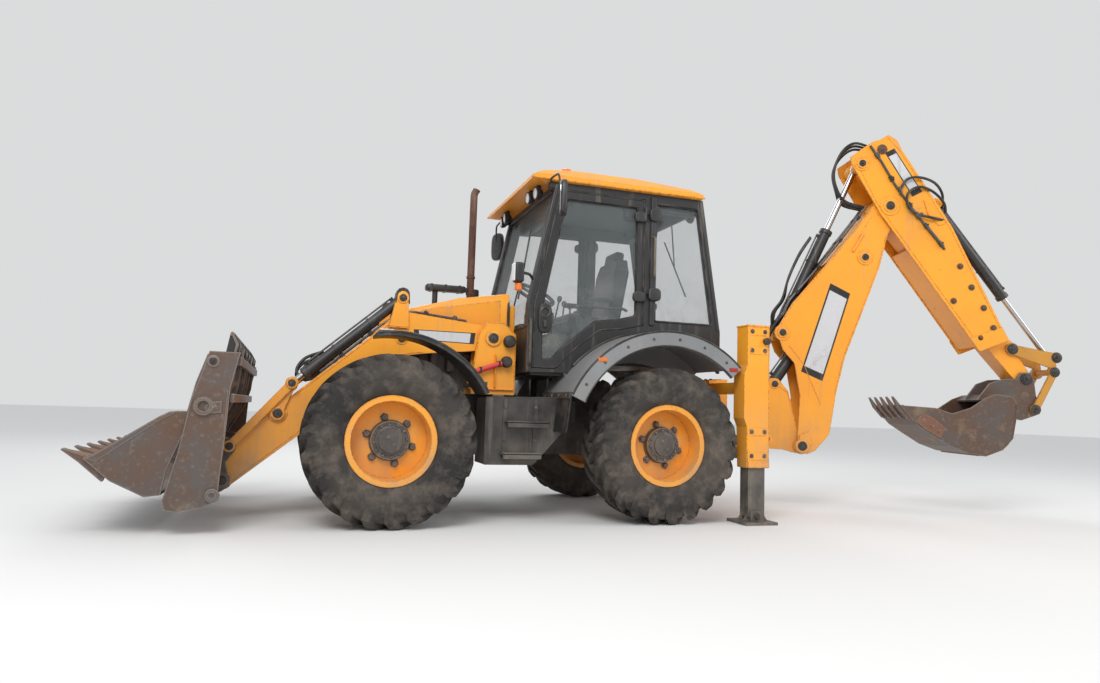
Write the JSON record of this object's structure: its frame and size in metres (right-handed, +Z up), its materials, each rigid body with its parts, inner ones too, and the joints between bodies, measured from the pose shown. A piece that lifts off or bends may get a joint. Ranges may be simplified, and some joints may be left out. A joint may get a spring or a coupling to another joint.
{
  "type": "backhoe loader",
  "caption": "Wheeled backhoe loader with a cab, a clam front bucket on loader arms and a slewed digging arm with an extending dipper on a side shift frame between stabiliser legs.",
  "frame": {"origin": "middle of the whole machine's outer box at ground level", "axes": "+X towards the loader bucket, +Y to the machine's left, +Z up; the digging arm is slewed to the left at rest"},
  "size_m": [8.6241, 2.46, 3.7612],
  "materials": {
    "yellow_paint": "satin, scuffed",
    "black_paint": "satin",
    "grey_paint": "satin",
    "engine_iron": "matte",
    "bucket_steel": "worn, with dry soil",
    "rod_chrome": "polished",
    "tyre_rubber": "dusty",
    "window_glass": "clear",
    "cab_trim": "matte",
    "seat_fabric": "woven",
    "lamp_plastic": "gloss"
  },
  "bodies": {
    "chassis": {"main_frame": "black_paint", "engine_block": "engine_iron", "loader_towers": "yellow_paint", "side_tanks": "black_paint", "axle_housings": "black_paint", "cab_frame": "black_paint", "cab_roof": "yellow_paint", "cab_glass": "window_glass", "cab_interior": "cab_trim", "driver_seat": "seat_fabric", "rear_fenders": "grey_paint", "front_fenders": "black_paint", "exhaust_stack": "black_paint", "side_cowl": "yellow_paint", "nose_grille": "black_paint", "rear_frame": "yellow_paint", "lamps": "lamp_plastic", "mirrors": "black_paint"},
    "hood": {"hood": "yellow_paint"},
    "door_left": {"door_left": "black_paint", "door_glass_left": "window_glass"},
    "door_right": {"door_right": "black_paint", "door_glass_right": "window_glass"},
    "knuckle_front_left": {"knuckle_front_left": "black_paint"},
    "knuckle_front_right": {"knuckle_front_right": "black_paint"},
    "knuckle_rear_left": {"knuckle_rear_left": "black_paint"},
    "knuckle_rear_right": {"knuckle_rear_right": "black_paint"},
    "wheel_front_left": {"tyre_front_left": "tyre_rubber", "rim_front_left": "yellow_paint"},
    "wheel_front_right": {"tyre_front_right": "tyre_rubber", "rim_front_right": "yellow_paint"},
    "wheel_rear_left": {"tyre_rear_left": "tyre_rubber", "rim_rear_left": "yellow_paint"},
    "wheel_rear_right": {"tyre_rear_right": "tyre_rubber", "rim_rear_right": "yellow_paint"},
    "loader_arms": {"loader_arms": "yellow_paint"},
    "lift_barrels": {"lift_barrels": "black_paint"},
    "lift_rods": {"lift_rods": "rod_chrome"},
    "tilt_levers": {"tilt_levers": "yellow_paint"},
    "tilt_links": {"tilt_links": "yellow_paint"},
    "tilt_barrels": {"tilt_barrels": "black_paint"},
    "tilt_rods": {"tilt_rods": "rod_chrome"},
    "loader_bucket": {"loader_bucket": "bucket_steel"},
    "clam_jaw": {"clam_jaw": "bucket_steel"},
    "carriage": {"carriage": "yellow_paint"},
    "kingpost": {"kingpost": "yellow_paint"},
    "boom": {"boom": "yellow_paint"},
    "boom_barrel": {"boom_barrel": "black_paint"},
    "boom_rod": {"boom_rod": "rod_chrome"},
    "dipper": {"dipper": "yellow_paint"},
    "dipper_barrel": {"dipper_barrel": "black_paint"},
    "dipper_rod": {"dipper_rod": "rod_chrome"},
    "inner_dipper": {"inner_dipper": "yellow_paint"},
    "hoe_barrel": {"hoe_barrel": "black_paint"},
    "hoe_rod": {"hoe_rod": "rod_chrome"},
    "tip_lever": {"tip_lever": "yellow_paint"},
    "tip_link": {"tip_link": "yellow_paint"},
    "hoe_bucket": {"hoe_bucket": "bucket_steel"},
    "stabiliser_left": {"stabiliser_left": "black_paint"},
    "stabiliser_right": {"stabiliser_right": "black_paint"}
  },
  "joints": [
    {"name": "hood_hinge", "type": "hinge", "parent": "chassis", "child": "hood", "pos_m": [1.25, 0, 1.86], "axis": [0, -1, 0], "range_deg": [0, 55]},
    {"name": "door_left_hinge", "type": "hinge", "parent": "chassis", "child": "door_left", "pos_m": [0.122, 0.742, 2.2], "axis": [0, 0, 1], "range_deg": [0, 90]},
    {"name": "door_right_hinge", "type": "hinge", "parent": "chassis", "child": "door_right", "pos_m": [0.122, -0.742, 2.2], "axis": [0, 0, -1], "range_deg": [0, 90]},
    {"name": "steer_front", "type": "hinge", "parent": "chassis", "child": "knuckle_front_left", "pos_m": [2.26, 0.74, 0.63], "axis": [0, 0, 1], "range_deg": [-20, 20]},
    {"name": "steer_front_right", "type": "hinge", "parent": "chassis", "child": "knuckle_front_right", "pos_m": [2.26, -0.74, 0.63], "axis": [0, 0, 1], "range_deg": [-20, 20]},
    {"name": "roll_front_left", "type": "hinge", "parent": "knuckle_front_left", "child": "wheel_front_left", "pos_m": [2.26, 0.95, 0.63], "axis": [0, 1, 0], "continuous": true},
    {"name": "roll_front_right", "type": "hinge", "parent": "knuckle_front_right", "child": "wheel_front_right", "pos_m": [2.26, -0.95, 0.63], "axis": [0, 1, 0], "continuous": true},
    {"name": "steer_rear", "type": "hinge", "parent": "chassis", "child": "knuckle_rear_left", "pos_m": [0.06, 0.74, 0.63], "axis": [0, 0, 1], "range_deg": [-20, 20]},
    {"name": "steer_rear_right", "type": "hinge", "parent": "chassis", "child": "knuckle_rear_right", "pos_m": [0.06, -0.74, 0.63], "axis": [0, 0, 1], "range_deg": [-20, 20]},
    {"name": "roll_rear_left", "type": "hinge", "parent": "knuckle_rear_left", "child": "wheel_rear_left", "pos_m": [0.06, 0.95, 0.63], "axis": [0, 1, 0], "continuous": true},
    {"name": "roll_rear_right", "type": "hinge", "parent": "knuckle_rear_right", "child": "wheel_rear_right", "pos_m": [0.06, -0.95, 0.63], "axis": [0, 1, 0], "continuous": true},
    {"name": "lift", "type": "hinge", "parent": "chassis", "child": "loader_arms", "pos_m": [1.408, 0, 1.462], "axis": [0, -1, 0], "range_deg": [-3, 68]},
    {"name": "lift_barrel_pivot", "type": "hinge", "parent": "chassis", "child": "lift_barrels", "pos_m": [1.76, 0, 0.52], "axis": [0, -1, 0], "range_deg": [-1.1, 24.71]},
    {"name": "lift_rod_slide", "type": "slide", "parent": "lift_barrels", "child": "lift_rods", "axis": [0.3965, 0, 0.918], "range_m": [-0.0289, 0.6332]},
    {"name": "tilt", "type": "hinge", "parent": "loader_arms", "child": "loader_bucket", "pos_m": [3.405, 0, 0.3], "axis": [0, 1, 0], "range_deg": [-5, 105]},
    {"name": "tilt_lever_pivot", "type": "hinge", "parent": "loader_arms", "child": "tilt_levers", "pos_m": [3.05, 0, 0.8], "axis": [0, 1, 0], "range_deg": [-5.44, 114.09]},
    {"name": "tilt_link_pivot", "type": "hinge", "parent": "tilt_levers", "child": "tilt_links", "pos_m": [2.961, 0, 1.03], "axis": [0, 1, 0], "range_deg": [-108.39, 5.17]},
    {"name": "tilt_barrel_pivot", "type": "hinge", "parent": "loader_arms", "child": "tilt_barrels", "pos_m": [2.157, 0, 1.745], "axis": [0, -1, 0], "range_deg": [-0.09, 1.61]},
    {"name": "tilt_rod_slide", "type": "slide", "parent": "tilt_barrels", "child": "tilt_rods", "axis": [0.7473, 0, -0.6645], "range_m": [-0.0206, 0.4134]},
    {"name": "clam", "type": "hinge", "parent": "loader_bucket", "child": "clam_jaw", "pos_m": [3.46, 0, 1.14], "axis": [0, -1, 0], "range_deg": [0, 75]},
    {"name": "sideshift", "type": "slide", "parent": "chassis", "child": "carriage", "axis": [0, 1, 0], "range_m": [-0.6, 0.6]},
    {"name": "slew", "type": "hinge", "parent": "carriage", "child": "kingpost", "pos_m": [-1.44, 0, 0.85], "axis": [0, 0, -1], "range_deg": [-110, 70]},
    {"name": "boom_hinge", "type": "hinge", "parent": "kingpost", "child": "boom", "pos_m": [-1.86944, 0.1563, 0.613], "axis": [-0.342, -0.9397, 0], "range_deg": [-15, 95]},
    {"name": "boom_barrel_pivot", "type": "hinge", "parent": "kingpost", "child": "boom_barrel", "pos_m": [-1.62794, 0.0684, 1.215], "axis": [-0.342, -0.9397, 0], "range_deg": [-14.41, 91.21]},
    {"name": "boom_rod_slide", "type": "slide", "parent": "boom_barrel", "child": "boom_rod", "axis": [-0.5284, 0.1923, 0.8269], "range_m": [-0.1502, 0.9462]},
    {"name": "dipper_hinge", "type": "hinge", "parent": "boom", "child": "dipper", "pos_m": [-2.6757, 0.44976, 3.028], "axis": [-0.342, -0.9397, 0], "range_deg": [-75, 12]},
    {"name": "dipper_barrel_pivot", "type": "hinge", "parent": "boom", "child": "dipper_barrel", "pos_m": [-1.68714, 0.08995, 1.726], "axis": [-0.342, -0.9397, 0], "range_deg": [-0.34, 2.09]},
    {"name": "dipper_rod_slide", "type": "slide", "parent": "dipper_barrel", "child": "dipper_rod", "axis": [-0.3853, 0.1402, 0.9121], "range_m": [-0.6176, 0.0997]},
    {"name": "extend", "type": "slide", "parent": "dipper", "child": "inner_dipper", "axis": [-0.5832, 0.2123, -0.7841], "range_m": [0, 0.85]},
    {"name": "curl", "type": "hinge", "parent": "inner_dipper", "child": "hoe_bucket", "pos_m": [-3.93488, 0.90806, 1.335], "axis": [0.342, 0.9397, 0], "range_deg": [-12, 125]},
    {"name": "tip_lever_pivot", "type": "hinge", "parent": "inner_dipper", "child": "tip_lever", "pos_m": [-3.81576, 0.8647, 1.62891], "axis": [0.342, 0.9397, 0], "range_deg": [-7.75, 80.69]},
    {"name": "tip_link_pivot", "type": "hinge", "parent": "tip_lever", "child": "tip_link", "pos_m": [-4.17924, 0.997, 1.4109], "axis": [0.342, 0.9397, 0], "range_deg": [-46.65, 4.49]},
    {"name": "hoe_barrel_pivot", "type": "hinge", "parent": "inner_dipper", "child": "hoe_barrel", "pos_m": [-3.16414, 0.62754, 3.09635], "axis": [0.342, 0.9397, 0], "range_deg": [-0.22, 2.21]},
    {"name": "hoe_rod_slide", "type": "slide", "parent": "hoe_barrel", "child": "hoe_rod", "axis": [-0.5525, 0.2011, -0.8089], "range_m": [-0.5568, 0.0544]},
    {"name": "leg_left", "type": "slide", "parent": "chassis", "child": "stabiliser_left", "axis": [0, 0, 1], "range_m": [-0.06, 0.34]},
    {"name": "leg_right", "type": "slide", "parent": "chassis", "child": "stabiliser_right", "axis": [0, 0, 1], "range_m": [-0.06, 0.34]}
  ],
  "couplings": [
    {"joint": "steer_front_right", "follows": "steer_front", "ratio": 1},
    {"joint": "steer_rear_right", "follows": "steer_rear", "ratio": 1},
    {"joint": "lift_barrel_pivot", "follows": "lift", "ratio": 0.36327},
    {"joint": "lift_rod_slide", "follows": "lift", "m_per_rad": 0.53267},
    {"joint": "tilt_lever_pivot", "follows": "tilt", "ratio": 1.0865},
    {"joint": "tilt_link_pivot", "follows": "tilt", "ratio": -1.0322},
    {"joint": "tilt_barrel_pivot", "follows": "tilt", "ratio": 0.015228},
    {"joint": "tilt_rod_slide", "follows": "tilt", "m_per_rad": 0.22501},
    {"joint": "boom_barrel_pivot", "follows": "boom_hinge", "ratio": 0.96},
    {"joint": "boom_rod_slide", "follows": "boom_hinge", "m_per_rad": 0.57008},
    {"joint": "dipper_barrel_pivot", "follows": "dipper_hinge", "ratio": -0.027788},
    {"joint": "dipper_rod_slide", "follows": "dipper_hinge", "m_per_rad": 0.47104},
    {"joint": "tip_lever_pivot", "follows": "curl", "ratio": 0.6454},
    {"joint": "tip_link_pivot", "follows": "curl", "ratio": -0.37308},
    {"joint": "hoe_barrel_pivot", "follows": "curl", "ratio": 0.017625},
    {"joint": "hoe_rod_slide", "follows": "curl", "m_per_rad": -0.25474}
  ]
}
